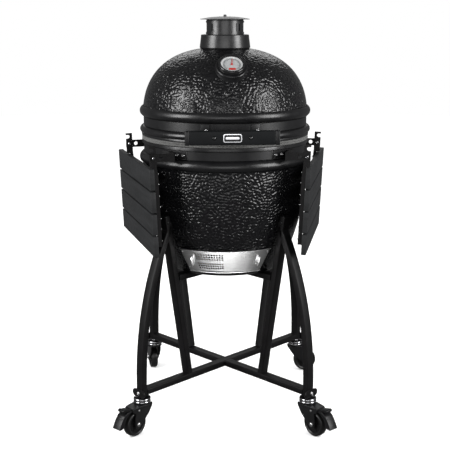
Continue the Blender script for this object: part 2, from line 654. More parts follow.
def make_caster(corner):
    side_x, side_y, trail = CASTERS[corner]
    place = Matrix.Translation((side_x * LEG_FOOT, side_y * LEG_FOOT, 0)) @ Matrix.Rotation(trail, 4, "Z")
    body, side = corner + "_caster", Matrix.Rotation(pi / 2, 4, "X")
    thick = 0.0028
    cheeks = [moved(sheet([cheek_outline()], thick, 0.0007),
                    Matrix.Translation((0, s * (FORK_WIDE / 2 - thick / 2), 0)) @ side) for s in (-1, 1)]
    crown_loop = arc((0, 0), 0.0262, 90, 270, 20) + [(0.0560, -FORK_WIDE / 2), (0.0560, FORK_WIDE / 2)]
    crown = moved(sheet([softened(crown_loop, 0.004, 2)], 0.0028, 0.0008),
                  Matrix.Translation((0, 0, CROWN_TOP - 0.0014)))
    skirt = moved(block((0.0535, -FORK_WIDE / 2 + 0.002, 0.0845), (0.0560, FORK_WIDE / 2 - 0.002, 0.0965),
                        0.0008), PLAIN)
    make(corner + "_fork_steel", join(*cheeks, crown, skirt), CASTER, body, [corner + "_fork"],
         place)
    make(corner + "_ball_race", lathe(race_profile(), 56), CHROME, body, (), place)
    rivets, axle = [], []
    for s in (-1, 1):
        outer = Vector((0, s * FORK_WIDE / 2, 0))
        rivets.append(moved(lathe([(0, 0.0016), (0.0026, 0.0013), (0.0038, 0.0)], 20),
                            pointing(outer + Vector((0.030, 0, 0.084)), outer)))
        axle.append(moved(lathe([(0, 0.0042), (0.0036, 0.0040), (0.0060, 0.0028), (0.0072, 0.0006),
                                 (0.0072, -0.0005)], 28),
                          pointing(outer + Vector((CASTER_TRAIL, 0, WHEEL_RADIUS)), outer)))
    make(corner + "_fork_rivets", join(*rivets), ZINC, body, (), place)
    pin = moved(lathe([(0, 0.018), (0.0045, 0.018), (0.0045, -0.018), (0, -0.018)], 20),
                Matrix.Translation((CASTER_TRAIL, 0, WHEEL_RADIUS)) @ side)
    make(corner + "_axle_bolt", join(pin, *axle), ZINC, body, (), place)
    make_wheel(corner, place @ Matrix.Translation((CASTER_TRAIL, 0, WHEEL_RADIUS)) @ side)
    if corner.startswith("front"):
        make_pedal(corner, place)


def make_wheel(corner, place):
    body, half = corner + "_wheel", WHEEL_WIDE / 2
    tyre = ([(0.0290, half - 0.0035), (0.0300, half - 0.0020)]
            + arc((0.0345, half - 0.0055), 0.0052, 110, 20, 8) + [(WHEEL_RADIUS, 0.0)]
            + arc((0.0345, -half + 0.0055), 0.0052, -20, -110, 8)
            + [(0.0300, -half + 0.0020), (0.0290, -half + 0.0035)])
    make(corner + "_tyre", lathe(tyre, 72, True), TYRE, body, [corner + "_wheel"], place)
    hub = [(0.0292, half - 0.0030), (0.0270, half - 0.0030), (0.0262, half - 0.0055), (0.0140, half - 0.0060),
           (0.0128, half - 0.0006), (0.0110, half), (0.0056, half)]
    hub = hub + [(r, -z) for r, z in reversed(hub)]
    ribs = []
    for k in range(6):
        rib = block((0.0128, -0.0014, -half + 0.0035), (0.0266, 0.0014, half - 0.0035), 0.0005, 2)
        ribs.append(moved(rib, Matrix.Rotation(k * pi / 3, 4, "Z")))
    make(corner + "_hub", join(lathe(hub, 56, True), *ribs), PEDAL, body, (), place)


def make_pedal(corner, place):
    """Foot brake: a lower paddle with grip ribs, and the release tab above it."""
    body, side = corner + "_brake", Matrix.Rotation(pi / 2, 4, "X")
    paddle = [(0.0580, 0.0925), (0.0760, 0.0915), (0.0900, 0.0840), (0.1020, 0.0680), (0.1125, 0.0470),
              (0.1090, 0.0445), (0.0930, 0.0465), (0.0885, 0.0620), (0.0800, 0.0760), (0.0650, 0.0855),
              (0.0580, 0.0880)]
    tab = [(0.0580, 0.0955), (0.0700, 0.0985), (0.0870, 0.1035), (0.0925, 0.1005), (0.0905, 0.0930),
           (0.0780, 0.0935), (0.0640, 0.0912), (0.0580, 0.0908)]
    parts = [moved(sheet([softened(paddle, 0.003)], 0.0310, 0.0012), side),
             moved(sheet([softened(tab, 0.002)], 0.0240, 0.0008), side)]
    for k in range(3):
        at = Vector((0.0975 + 0.0045 * k, 0, 0.0775 - 0.0095 * k))
        parts.append(moved(block((-0.0012, -0.0120, -0.0008), (0.0012, 0.0120, 0.0012), 0.0004, 2),
                           Matrix.Translation(at) @ Matrix.Rotation(radians(62), 4, "Y")))
    make(corner + "_pedal", join(*parts), PEDAL, body, [corner + "_brake_pedal"], place)


# ---------------------------------------------------------------- pot
def base_at(z):
    return BASE_RADIUS * sqrt(1 - ((BASE_CENTRE - z) / BASE_DEPTH) ** 2)


def dome_at(radius, inset=0.0):
    share = (radius / (DOME_RADIUS - inset)) ** DOME_POWER
    return DOME_CENTRE + (DOME_HEIGHT - inset) * (1 - share) ** (1 / DOME_POWER)


def dome_points(first, last, inset, steps):
    """(radius, z) points down the dome between two angles."""
    wide, tall = DOME_RADIUS - inset, DOME_HEIGHT - inset
    angles = [first + (last - first) * i / steps for i in range(steps + 1)]
    return [(wide * sin(a) ** (2 / DOME_POWER), DOME_CENTRE + tall * cos(a) ** (2 / DOME_POWER))
            for a in angles]


def bulge(shape, start, end, steps=16):
    z, outer, section = shape
    return arc((outer - section, z), section, start, end, steps)


def make_base():
    rim, seat = SEAM - GASKET_THICK - 0.0003, BAND_RADIUS - BAND_SHEET - 0.0003
    heights = [BASE_BOTTOM + 0.006 + (0.812 - BASE_BOTTOM - 0.006) * i / 40 for i in range(41)]
    outer = [(base_at(z), z) for z in heights]
    foot = [(base_at(BASE_BOTTOM) - 0.006, BASE_BOTTOM), (0.0, BASE_BOTTOM)]
    body = bulge(BASE_BULGE, -40, -58, 3) + outer[::-1] + foot
    inner_heights = [BASE_FLOOR + 0.006 + (BASE_CENTRE - BASE_FLOOR - 0.006) * i / 20 for i in range(21)]
    inner = [(0.0, BASE_FLOOR), (base_at(BASE_FLOOR) - WALL - 0.012, BASE_FLOOR)]
    inner += [(base_at(z) - WALL, z) for z in inner_heights] + [(BASE_RADIUS - WALL, rim)]
    rim_ring = [(0.2588, rim)] + arc((0.2588, rim - 0.0022), 0.0022, 90, 0, 5)
    neck = [(0.2610, BASE_BAND[1] + 0.0030), (seat, BASE_BAND[1] + 0.0006), (seat, BASE_BAND[0] - 0.0004)]
    ring = rim_ring + neck + bulge(BASE_BULGE, 78, -40)
    mouth = sheet([softened([(-0.082, 0.504), (0.082, 0.504), (0.100, 0.556), (-0.100, 0.556)], 0.008)], 0.2)
    mouth = moved(mouth, facing((0, -0.22, 0), (1, 0, 0), (0, 0, 1)))
    pot = make("base_body", lathe(inner + ring + body, 160), GLAZE, "stand_and_base", ["base_shell"],
               cuts=[mouth])
    line_inside(pot, SOOTED, (0, 0, 0.75))
    skin = 0.00025
    shell = [(r + skin, z) for r, z in ring]
    make("base_ring", lathe(shell, 160), GLAZE_PLAIN, "stand_and_base", ())


def make_inside():
    low, taper = BASE_FLOOR + 0.0003, 0.048
    lip = 0.004
    box = [(0, low + BOX_WALL), (BOX_RADIUS - taper - BOX_WALL - 0.01, low + BOX_WALL),
           (BOX_RADIUS - taper - BOX_WALL + 0.004, low + BOX_WALL + 0.012),
           (BOX_RADIUS - BOX_WALL, BOX_TOP - lip),
           (BOX_RADIUS - BOX_WALL + lip, BOX_TOP), (BOX_RADIUS - lip, BOX_TOP), (BOX_RADIUS, BOX_TOP - lip),
           (BOX_RADIUS - taper, low + lip), (BOX_RADIUS - taper - lip, low), (0, low)]
    mouth = block((-0.055, -0.30, low + BOX_WALL + 0.001), (0.055, -0.06, 0.545), 0.006)
    holes = []
    for k in range(10):
        way = radians(36 * k + 18)
        out = Vector((cos(way), sin(way), 0))
        holes.append(moved(lathe([(0, 0.3), (0.009, 0.3), (0.009, 0.1), (0, 0.1)], 20),
                           pointing((0, 0, 0.640), out)))
    make("fire_box_clay", lathe(box, 96), CLAY, "stand_and_base", ["fire_box"],
         cuts=[mouth] + holes)
    flare = 0.028
    base, top = BOX_TOP + 0.0003, RING_TOP
    ring = [(BOX_RADIUS + flare - lip, top), (BOX_RADIUS + flare, top - lip),
            (BOX_RADIUS + 0.001, base + lip), (BOX_RADIUS + 0.001 - lip, base),
            (BOX_RADIUS - BOX_WALL, base), (BOX_RADIUS + flare - BOX_WALL, top)]
    make("fire_ring_clay", lathe(ring, 96, True), CLAY, "stand_and_base", ["fire_ring"])
    make("charcoal_grate_iron", grate(COAL_GRATE_RADIUS, COAL_GRATE_Z, 13, 0.0034), IRON,
         "stand_and_base", ["charcoal_grate"])
    make("cooking_grate_rods", grate(GRATE_RADIUS, RING_TOP + 0.0003 + GRATE_THICK, 33, 0.0020),
         STAINLESS, "cooking_grate", ["cooking_grate"])


def grate(radius, top, bars, wire_radius):
    """Parallel rods on three crossbars inside a round rim."""
    rim = 0.0038
    z = top - rim
    inside = radius - rim
    turns = [2 * pi * i / 96 for i in range(96)]
    parts = [wire([(inside * cos(a), inside * sin(a), z) for a in turns], rim, 12, True)]
    for i in range(bars):
        x = -inside + 2 * inside * (i + 1) / (bars + 1)
        half = sqrt(inside ** 2 - x ** 2)
        parts.append(wire([(x, -half, top - wire_radius), (x, half, top - wire_radius)], wire_radius, 10))
    for y in (-radius * 0.45, 0.0, radius * 0.45):
        half = sqrt(inside ** 2 - y ** 2)
        drop = top - wire_radius * 2 - 0.0022
        parts.append(wire([(-half, y, drop), (half, y, drop)], 0.0022, 10))
    return join(*parts)


def band_shape(low, high):
    """A flat closed band with rounded edges."""
    inner, outer, edge = BAND_RADIUS - BAND_SHEET, BAND_RADIUS, 0.0006
    section = [(inner, high), (outer - edge, high), (outer, high - edge), (outer, low + edge),
               (outer - edge, low), (inner, low)]
    return lathe(section, 180, True)


def rope(name, low, body, node):
    """A braided gasket: its outer face is a run of crossing strands."""
    high = low + GASKET_THICK - 0.0003
    steps, middle, half = 720, (low + high) / 2, (high - low) / 2
    profile = [(GASKET_INNER, high), (GASKET_OUTER - 0.0040, high)]
    profile += arc((GASKET_OUTER - 0.0042, middle), half, 85, -85, 8)
    profile += [(GASKET_OUTER - 0.0040, low), (GASKET_INNER, low)]
    verts, faces = lathe(profile, steps, True)
    out = []
    for x, y, z in verts:
        radius, angle = hypot(x, y), atan2(y, x)
        share = max(0.0, (radius - 0.2545) / 0.007)
        weave = sin(angle * 90 + (z - middle) * 900) * sin(angle * 90 - (z - middle) * 900)
        push = 1 + (0.0007 * weave * share + 0.0006 * share) / radius
        out.append((x * push, y * push, z))
    make(name, (out, faces), GASKET, body, [node], HARDWARE, sharp=60)


def on_band(angle, z, radius=BAND_RADIUS):
    """A frame on the band's outer face: angle 0 is the front, positive towards +X."""
    out = Vector((sin(angle), -cos(angle), 0))
    return pointing(out * radius + Vector((0, 0, z)), out)


def make_bands():
    middle = (BASE_BAND[0] + BASE_BAND[1]) / 2
    make("base_band_steel", band_shape(*BASE_BAND), BAND_STEEL, "stand_and_base", ["base_band"],
         HARDWARE)
    make("lid_band_steel", band_shape(*LID_BAND), BAND_STEEL, "lid", ["lid_band"], HARDWARE)
    rope("base_gasket_rope", SEAM - GASKET_THICK, "stand_and_base", "base_gasket")
    rope("lid_gasket_rope", SEAM + 0.0003, "lid", "lid_gasket")
    bolts, plates, gaps = [], [], []
    low, high = BASE_BAND[0] + 0.001, BASE_BAND[1] - 0.001
    inner, outer = BAND_RADIUS - 0.0004, BAND_RADIUS + 0.0014
    plate = [(inner, low), (outer, low), (outer, high), (inner, high)]
    for sign in (-1, 1):
        start = sign * CLAMP_START
        gaps.append(moved(block((-0.0016, -0.0125, -0.0004), (0.0016, 0.0125, 0.0010), 0.0003, 2),
                          on_band(start, middle)))
        plates.append(bent_bar(plate, start + sign * radians(0.6), start + sign * CLAMP_WIDE, 9))
        for bolt in CLAMP_BOLTS:
            seat = on_band(start + sign * bolt, middle, BAND_RADIUS + 0.0010)
            bolts.append(moved(button_head(0.0052, 0.0044), seat))
    make("band_clamp_gaps", join(*gaps), BAND_STEEL, "stand_and_base", (), HARDWARE)
    make("band_clamp_plates", join(*plates), BAND_STEEL, "stand_and_base", (), HARDWARE)
    make("band_clamp_bolts", join(*bolts), ZINC, "stand_and_base", (), HARDWARE)


# ---------------------------------------------------------------- draft door
def draft_wall(z, out=0.0):
    share = (z - DRAFT_BOTTOM) / (DRAFT_TOP - DRAFT_BOTTOM)
    return DRAFT_BOTTOM_RADIUS + (DRAFT_TOP_RADIUS - DRAFT_BOTTOM_RADIUS) * share + out


def draft_half(z, margin=0.0):
    share = (z - DRAFT_BOTTOM) / (DRAFT_TOP - DRAFT_BOTTOM)
    return DRAFT_BOTTOM_HALF + (DRAFT_TOP_HALF - DRAFT_BOTTOM_HALF) * share - margin


def on_door(x, z, out):
    """A point on the slanted door, from its distance x across the front."""
    radius = draft_wall(z, out)
    return Vector((x, -sqrt(radius ** 2 - x ** 2), z))


def frame_sheet():
    """The draft frame's curved sheet, built from cells with those of the window left out."""
    ends, columns = 4, 48
    heights = [DRAFT_BOTTOM, DRAFT_BOTTOM + FRAME_EDGE, DRAFT_TOP - FRAME_EDGE, DRAFT_TOP]
    rows = len(heights) - 1
    verts, faces = [], []
    for z in heights:
        half = draft_half(z)
        for i in range(columns + 1):
            if i <= ends:
                x = -half + FRAME_END * i / ends
            elif i >= columns - ends:
                x = half - FRAME_END * (columns - i) / ends
            else:
                x = (half - FRAME_END) * (2 * (i - ends) / (columns - 2 * ends) - 1)
            verts += [on_door(x, z, 0.0), on_door(x, z, DRAFT_SHEET)]

    def solid(i, j):
        inside = 0 <= i < columns and 0 <= j < rows
        return inside and (i < ends or i >= columns - ends or j in (0, rows - 1))

    def at(i, j, face):
        return 2 * (j * (columns + 1) + i) + face

    for i in range(columns):
        for j in range(rows):
            if not solid(i, j):
                continue
            around = [((i, j), (i + 1, j), (i, j - 1)), ((i + 1, j), (i + 1, j + 1), (i + 1, j)),
                      ((i + 1, j + 1), (i, j + 1), (i, j + 1)), ((i, j + 1), (i, j), (i - 1, j))]
            for face in (0, 1):
                faces.append(tuple(at(*start, face) for start, _, _ in around))
            for start, end, neighbour in around:
                if not solid(*neighbour):
                    faces.append((at(*start, 0), at(*end, 0), at(*end, 1), at(*start, 1)))
    return verts, faces


def frame_lip(z):
    """The lip above or below the doors, on the sheet's outer face."""
    inner, outer = draft_wall(z, DRAFT_SHEET - 0.0003), draft_wall(z, DRAFT_SHEET + DRAFT_LIP)
    half = asin(draft_half(z) / outer)
    low, high, edge = z - DRAFT_SHEET / 2, z + DRAFT_SHEET / 2, 0.0005
    loop = [(inner, low), (outer - edge, low), (outer, low + edge), (outer, high - edge),
            (outer - edge, high), (inner, high)]
    return bent_bar(loop, -half, half, 48)


def door_shape(out, left, right, holes=None):
    """A curved sheet built from cells, some of which have a round hole.
    left and right map a height to an x; holes says which cell is open."""
    low, high = DRAFT_BOTTOM + DRAFT_SHEET + DOOR_GAP, DRAFT_TOP - DRAFT_SHEET - DOOR_GAP
    columns, rows = 16, 9
    verts, faces, index = [], [], {}

    def point(u, v, surface):
        key = (round(u * 48), round(v * 48), surface) if abs(u * 48 - round(u * 48)) < 1e-6 \
            and abs(v * 48 - round(v * 48)) < 1e-6 else (u, v, surface)
        if key not in index:
            z = low + (high - low) * v / rows
            x = left(z) + (right(z) - left(z)) * u / columns
            index[key] = len(verts)
            verts.append(on_door(x, z, out + surface * DOOR_SHEET))
        return index[key]

    edge = [(-1, -1), (0, -1), (1, -1), (1, 0), (1, 1), (0, 1), (-1, 1), (-1, 0)]
    around = [(DOOR_HOLE * cos(pi * (5 + k) / 4), DOOR_HOLE * sin(pi * (5 + k) / 4)) for k in range(8)]

    def join_rings(first, second):
        return [(first[k], first[(k + 1) % 8], second[(k + 1) % 8], second[k]) for k in range(8)]

    for i in range(columns):
        for j in range(rows):
            cu, cv = i + 0.5, j + 0.5
            rims = []
            for surface in (0, 1):
                square = [point(cu + a / 2, cv + b / 2, surface) for a, b in edge]
                if holes and holes(i, j):
                    rims.append([point(cu + a, cv + b, surface) for a, b in around])
                    faces += join_rings(square, rims[-1])
                else:
                    faces.append(tuple(square))
            if rims:
                faces += join_rings(*rims)
    border = [(i / 2, 0) for i in range(2 * columns)] + [(columns, j / 2) for j in range(2 * rows)]
    border += [(i / 2, rows) for i in range(2 * columns, 0, -1)]
    border += [(0, j / 2) for j in range(2 * rows, 0, -1)]
    for (u0, v0), (u1, v1) in zip(border, border[1:] + border[:1]):
        faces.append((point(u0, v0, 0), point(u1, v1, 0), point(u1, v1, 1), point(u0, v0, 1)))
    return verts, faces


def door_pull(x, out, reach):
    """A bent strip that the cook slides the door with."""
    z = (DRAFT_BOTTOM + DRAFT_TOP) / 2
    foot = on_door(x, z, out)
    slope = (on_door(x, z + 0.01, out) - on_door(x, z - 0.01, out)).normalized()
    radial = Vector((foot.x, foot.y, 0)).normalized()
    across = Vector((0, 0, 1)).cross(radial)
    place = facing(foot, across, slope)
    bar = moved(block((-0.0017, -0.0165, 0.0006), (0.0017, 0.0165, reach), 0.0009), place)
    tab = moved(block((-0.0080, -0.0150, 0.0002), (0.0, 0.0150, 0.0016), 0.0005), place)
    rivets = [moved(button_head(0.0021, 0.0010), place @ Matrix.Translation((-0.0050, s * 0.0105, 0.0016)))
              for s in (-1, 1)]
    return join(bar, tab, *rivets)


def make_draft():
    ends = 0.007
    inner = DRAFT_SHEET + DOOR_GAP
    outer = inner + DOOR_SHEET + DOOR_GAP
    rows = (1, 2, 3, 5, 6, 7)
    mesh = door_shape(inner, lambda z: -draft_half(z, ends), lambda z: 0.004,
                      lambda i, j: 4 <= i <= 14 and j in rows)
    pull = door_pull(-0.098, inner + DOOR_SHEET, 0.0115)
    make("draft_mesh_sheet", join(mesh, pull), STAINLESS, "mesh_door", ["draft_mesh_door"])
    solid = door_shape(outer, lambda z: -0.004, lambda z: draft_half(z, ends))
    pull = door_pull(0.100, outer + DOOR_SHEET, 0.0095)
    make("draft_solid_sheet", join(solid, pull), STAINLESS, "solid_door", ["draft_solid_door"])
    lips = [frame_lip(DRAFT_BOTTOM + DRAFT_SHEET / 2), frame_lip(DRAFT_TOP - DRAFT_SHEET / 2)]
    make("draft_frame_sheet", join(frame_sheet(), *lips), STAINLESS, "stand_and_base", ["draft_frame"])
    screws = []
    for sign in (-1, 1):
        for z in (DRAFT_BOTTOM + 0.0115, DRAFT_TOP - 0.0115):
            x = sign * (draft_half(z) - 0.0042)
            foot = on_door(x, z, DRAFT_SHEET)
            screws.append(moved(button_head(0.0026, 0.0016), pointing(foot, (foot.x, foot.y, 0))))
    make("draft_frame_screws", join(*screws), ZINC, "stand_and_base", ())


# ---------------------------------------------------------------- lid
def gauge_frame():
    """Foot of the thermometer on the dome, with Z pointing out of its dial."""
    out = Vector((0, -cos(GAUGE_ELEVATION), sin(GAUGE_ELEVATION)))
    radii = [0.12 + 0.12 * i / 200 for i in range(201)]
    slope = {r: atan2(0.001, dome_at(r - 0.0005) - dome_at(r + 0.0005)) for r in radii}
    radius = min(radii, key=lambda r: abs(slope[r] - GAUGE_ELEVATION))
    foot = Vector((0, -radius, dome_at(radius)))
    return Matrix.Rotation(GAUGE_TURN, 4, "Z") @ facing(foot, (1, 0, 0), out.cross(Vector((1, 0, 0))))


def make_lid():
    rim, seat = SEAM + GASKET_THICK + 0.0003, BAND_RADIUS - BAND_SHEET - 0.0003
    outer = dome_points(0.138, pi / 2 - 0.134, 0.0, 70)
    inner = [(CHIMNEY_HOLE, dome_at(CHIMNEY_HOLE, WALL))] + dome_points(0.16, pi / 2, WALL, 30)
    ring = (bulge(LID_BULGE, 62, -78) + [(seat, LID_BAND[1] + 0.0003), (seat, LID_BAND[0] - 0.0003)]
            + bulge(LID_LIP, 78, -60, 12) + [(0.2615, rim + 0.0050)]
            + arc((0.2595, rim + 0.0020), 0.0020, 0, -90, 4))
    profile = [(CHIMNEY_HOLE, dome_at(CHIMNEY_HOLE))] + outer + ring
    profile += [(DOME_RADIUS - WALL, rim)] + inner[::-1]
    dome = make("lid_dome", lathe(profile, 160, True), GLAZE, "lid", ["lid_shell"], HARDWARE)
    line_inside(dome, SOOTED, (0, 0, 0.96))
    skin = 0.00025
    make("lid_rings", lathe([(r + skin, z) for r, z in ring], 160), GLAZE_PLAIN, "lid", (),
         HARDWARE)
    boss = ([(BOSS_RADIUS + 0.0035, -0.0075), (BOSS_RADIUS + 0.0018, -0.0030)]
            + arc((BOSS_RADIUS - 0.004, BOSS_PROUD - 0.004), 0.004, 0, 90, 6) + [(0.0, BOSS_PROUD)])
    make("gauge_boss", lathe(boss, 72), GLAZE_PLAIN, "lid", (), HARDWARE @ gauge_frame())


def make_gauge():
    """Thermometer: bezel, dial with its scale, needle and glass."""
    place = HARDWARE @ gauge_frame() @ Matrix.Translation((0, 0, BOSS_PROUD + 0.0003))
    floor, ledge = 0.0040, 0.0318
    case = ([(0, floor), (ledge, floor), (ledge, GAUGE_THICK - 0.0030),
             (ledge + 0.0010, GAUGE_THICK - 0.0008)]
            + arc((0.0362, GAUGE_THICK - 0.0028), 0.0028, 110, 10, 8)
            + [(GAUGE_RADIUS - 0.0004, 0.0040), (GAUGE_RADIUS, 0.0012), (GAUGE_RADIUS - 0.001, 0.0), (0, 0)])
    make("gauge_bezel", lathe(case, 96), BEZEL, "lid", ["gauge_case"], place)
    stem = [(0, 0), (0.003, 0), (0.003, -0.0850), (0.0018, -0.0875), (0, -0.088)]
    make("gauge_stem", lathe(stem, 20), STAINLESS, "lid", (), place)
    face = [(0, floor + 0.0012), (0.0268, floor + 0.0012), (0.0268, floor + 0.0002)]
    make("gauge_dial_face", lathe(face, 72), DIAL, "lid", ["gauge_dial"], place)
    ring = [(0.0268, floor + 0.0012), (0.0302, floor + 0.0014), (0.0316, floor + 0.0024),
            (0.0316, floor + 0.0002)]
    make("gauge_dial_ring", lathe(ring, 72), DIAL_RING, "lid", (), place)
    ticks = []
    for k in range(41):
        long = k % 5 == 0
        tick = block((-0.00045, 0.0190 if long else 0.0215, 0), (0.00045, 0.0255, 0.0002), 0.00005, 1)
        turn = Matrix.Rotation(radians(135 - 270 * k / 40), 4, "Z")
        ticks.append(moved(tick, Matrix.Translation((0, 0, floor + 0.0012)) @ turn))
    make("gauge_scale", join(*ticks), TICK, "lid", (), place)
    mark = moved(sheet([rounded_loop(0.0215, 0.0084, 0.0041, 6)], 0.0003, 0.0),
                 Matrix.Translation((0, -0.0185, floor + 0.0015)))
    make("gauge_red_mark", mark, RED, "lid", (), place)
    lens = [(0, 0.0098), (0.020, 0.0096), (ledge - 0.0002, 0.0088), (ledge - 0.0002, 0.0080), (0.020, 0.0087),
            (0, 0.0089)]
    make("gauge_lens_glass", lathe(lens, 72), GLASS, "lid", ["gauge_lens"], place)
    hub, tip = 0.0034, 0.0235
    outline = [(0.0006, tip), (-0.0006, tip), (-0.0013, hub)]
    outline += arc((0, 0), hub, 110, 430, 22) + [(0.0013, hub)]
    boss = lathe([(0, 0.0012), (0.0016, 0.0010), (0.0020, 0.0002)], 20)
    turn = Matrix.Translation((0, 0, 0.0066)) @ Matrix.Rotation(radians(-9), 4, "Z")
    make("gauge_pointer", moved(join(sheet([outline], 0.0008, 0.0002), boss), turn), RED, "gauge_needle",
         ["gauge_needle"], place)


def make_handle():
    """Bar with end caps, two sunk screws and a blank plate, on two brackets."""
    half, back = HANDLE_WIDE / 2, HANDLE_FRONT + HANDLE_DEEP
    low, high = HANDLE_Z - HANDLE_TALL / 2, HANDLE_Z + HANDLE_TALL / 2
    cap = 0.0125
    bar = block((-half + cap, HANDLE_FRONT + 0.0006, low + 0.0006),
                (half - cap, back - 0.0004, high - 0.0006), 0.0032, 4)
    sockets = [moved(lathe([(0, 0.01), (0.0062, 0.01), (0.0062, -0.0022), (0, -0.0022)], 28),
                     pointing((x, HANDLE_FRONT + 0.0006, HANDLE_Z), (0, -1, 0)))
               for x in (-0.0515, 0.0515)]
    make("handle_grip", bar, HANDLE, "lid", ["handle_bar"], HARDWARE, cuts=sockets)
    caps = [block((min(s * half, s * (half - cap - 0.0006)), HANDLE_FRONT, low),
                  (max(s * half, s * (half - cap - 0.0006)), back, high), 0.0030, 4) for s in (-1, 1)]
    make("handle_end_caps", join(*caps), PEDAL, "lid", (), HARDWARE)
    screws = [moved(button_head(0.0052, 0.0018), pointing((x, HANDLE_FRONT + 0.0026, HANDLE_Z), (0, -1, 0)))
              for x in (-0.0515, 0.0515)]
    make("handle_screws", join(*screws), BEZEL, "lid", (), HARDWARE)
    plate = moved(sheet([rounded_loop(0.0520, 0.0235, 0.0055, 6)], 0.0012, 0.0004),
                  pointing((0, HANDLE_FRONT + 0.0002, HANDLE_Z), (0, -1, 0)))
    field = moved(sheet([rounded_loop(0.0475, 0.0190, 0.0040, 6)], 0.0006, 0.0002),
                  pointing((0, HANDLE_FRONT - 0.0006, HANDLE_Z), (0, -1, 0)))
    make("handle_plate", plate, PLATE, "lid", (), HARDWARE)
    make("handle_plate_field", field, PEDAL, "lid", (), HARDWARE)
    bar = moved(sheet([rounded_loop(0.0390, 0.0070, 0.0030, 5)], 0.0006, 0.0002),
                pointing((0, HANDLE_FRONT - 0.0011, HANDLE_Z), (0, -1, 0)))
    make("handle_plate_bar", bar, PLATE, "lid", (), HARDWARE)
    bolts = []
    for x, name in ((-BRACKET_X, "left"), (BRACKET_X, "right")):
        angle = atan2(x, sqrt(BAND_RADIUS ** 2 - x ** 2))
        seat = on_band(angle, (LID_BAND[0] + LID_BAND[1]) / 2)
        foot = moved(block((-0.0130, -0.0115, -0.0012), (0.0130, 0.0115, 0.0022), 0.0008), seat)
        back = HANDLE_FRONT + HANDLE_DEEP
        arm = block((x - 0.011, back + 0.0001, HANDLE_Z - 0.012), (x + 0.011, -0.2470, HANDLE_Z), 0.0010)
        tab = block((x - 0.011, back + 0.0001, HANDLE_Z - 0.004), (x + 0.011, back + 0.014, 0.9445), 0.0010)
        make("handle_arm_" + name, join(foot, arm, tab), BAND_STEEL, "lid", ["handle_bracket_" + name],
             HARDWARE)
        bolts.append(moved(button_head(0.0050, 0.0042), Matrix.Translation((x, back + 0.007, 0.9445))))
    make("handle_bracket_bolts", join(*bolts), ZINC, "lid", (), HARDWARE)


def make_chimney():
    """Collar, flange, windowed sleeve and the rain cap with its damper."""
    (top_radius, top), (low_radius, low) = COLLAR
    edge = 0.0030
    collar = ([(SLEEVE_RADIUS + 0.0003, top - 0.003), (SLEEVE_RADIUS + 0.0003, top)]
              + arc((top_radius - edge, top - edge), edge, 90, 4, 7)
              + [(top_radius + 0.0006, top - 0.010)]
              + arc((low_radius - edge, low + edge), edge, 0, -90, 6) + [(low_radius - 0.006, low)])
    make("vent_collar_metal", lathe(collar, 96), VENT, "lid", ["vent_collar"], HARDWARE)
    flange = [(0.060, low + 0.0004), (0.0735, low + 0.0002)]
    flange += arc((0.0740, low - 0.0022), 0.0022, 80, -60, 6)
    flange += [(0.0735, low - 0.0060), (0.0600, low - 0.0060)]
    make("vent_flange", lathe(flange, 96, True), VENT, "lid", (), HARDWARE)
    inner = SLEEVE_RADIUS - SLEEVE_SHEET
    foot = dome_at(inner) + 0.001
    sleeve = [(inner, SLEEVE_TOP), (SLEEVE_RADIUS - 0.0004, SLEEVE_TOP), (SLEEVE_RADIUS, SLEEVE_TOP - 0.0004),
              (SLEEVE_RADIUS, foot), (inner, foot)]
    middle = (WINDOW[0] + WINDOW[1]) / 2
    window = moved(sheet([rounded_loop(2 * WINDOW_HALF, WINDOW[1] - WINDOW[0], 0.006)], 0.2),
                   facing((0, 0, middle), (0, 1, 0), (0, 0, 1)))
    slots = []
    for turn in (-38, 33, 142, 213):
        spot = Matrix.Rotation(radians(turn), 4, "Z") @ Matrix.Translation((0, -SLEEVE_RADIUS, middle))
        slots.append(moved(block((-0.0012, -0.010, -0.0120), (0.0012, 0.010, 0.0120), 0.0004), spot))
    make("vent_sleeve_metal", lathe(sleeve, 96, True), VENT, "lid", ["vent_sleeve"], HARDWARE,
         cuts=[window] + slots)
    make_cap(inner, foot, middle)


def make_cap(inner, foot, middle):
    damper = inner - 0.0004
    shares = [0.1 * k for k in range(1, 11)]
    rise = CAP_TOP - CAP_RIM - 0.0015
    crown = [(0, CAP_TOP)]
    crown += [(CAP_RADIUS * s, CAP_RIM + 0.0015 + rise * (1 - s ** 2.2)) for s in shares]
    lip = [(CAP_RADIUS + 0.0004, CAP_RIM + 0.0006), (CAP_RADIUS, CAP_RIM), (CAP_RADIUS - 0.0016, CAP_RIM)]
    under = [(CAP_RADIUS * s, CAP_RIM + 0.0002 + rise * (1 - s ** 2.2) * 0.8) for s in (0.95, 0.9, 0.8)]
    body = crown + lip + under + [(damper, CAP_RIM), (damper, foot + 0.004)]
    body += [(damper - SLEEVE_SHEET, foot + 0.004), (damper - SLEEVE_SHEET, CAP_RIM + 0.001),
             (0, CAP_RIM + 0.003)]
    window = moved(sheet([rounded_loop(2 * WINDOW_HALF, WINDOW[1] - WINDOW[0], 0.006)], 0.2),
                   facing((0, 0, middle), (1, 0, 0), (0, 0, 1)))
    make("rain_cap_metal", lathe(body, 96), CAP_GREY, "rain_cap", ["rain_cap"], HARDWARE,
         cuts=[window])
    nut = lathe([(0, 0.0062), (0.0034, 0.0058), (0.0046, 0.0040), (0.0050, 0.0)], 24)
    top = Matrix.Translation((0, 0, CAP_TOP - 0.0004))
    make("rain_cap_nut", moved(nut, top), BEZEL, "rain_cap", ())


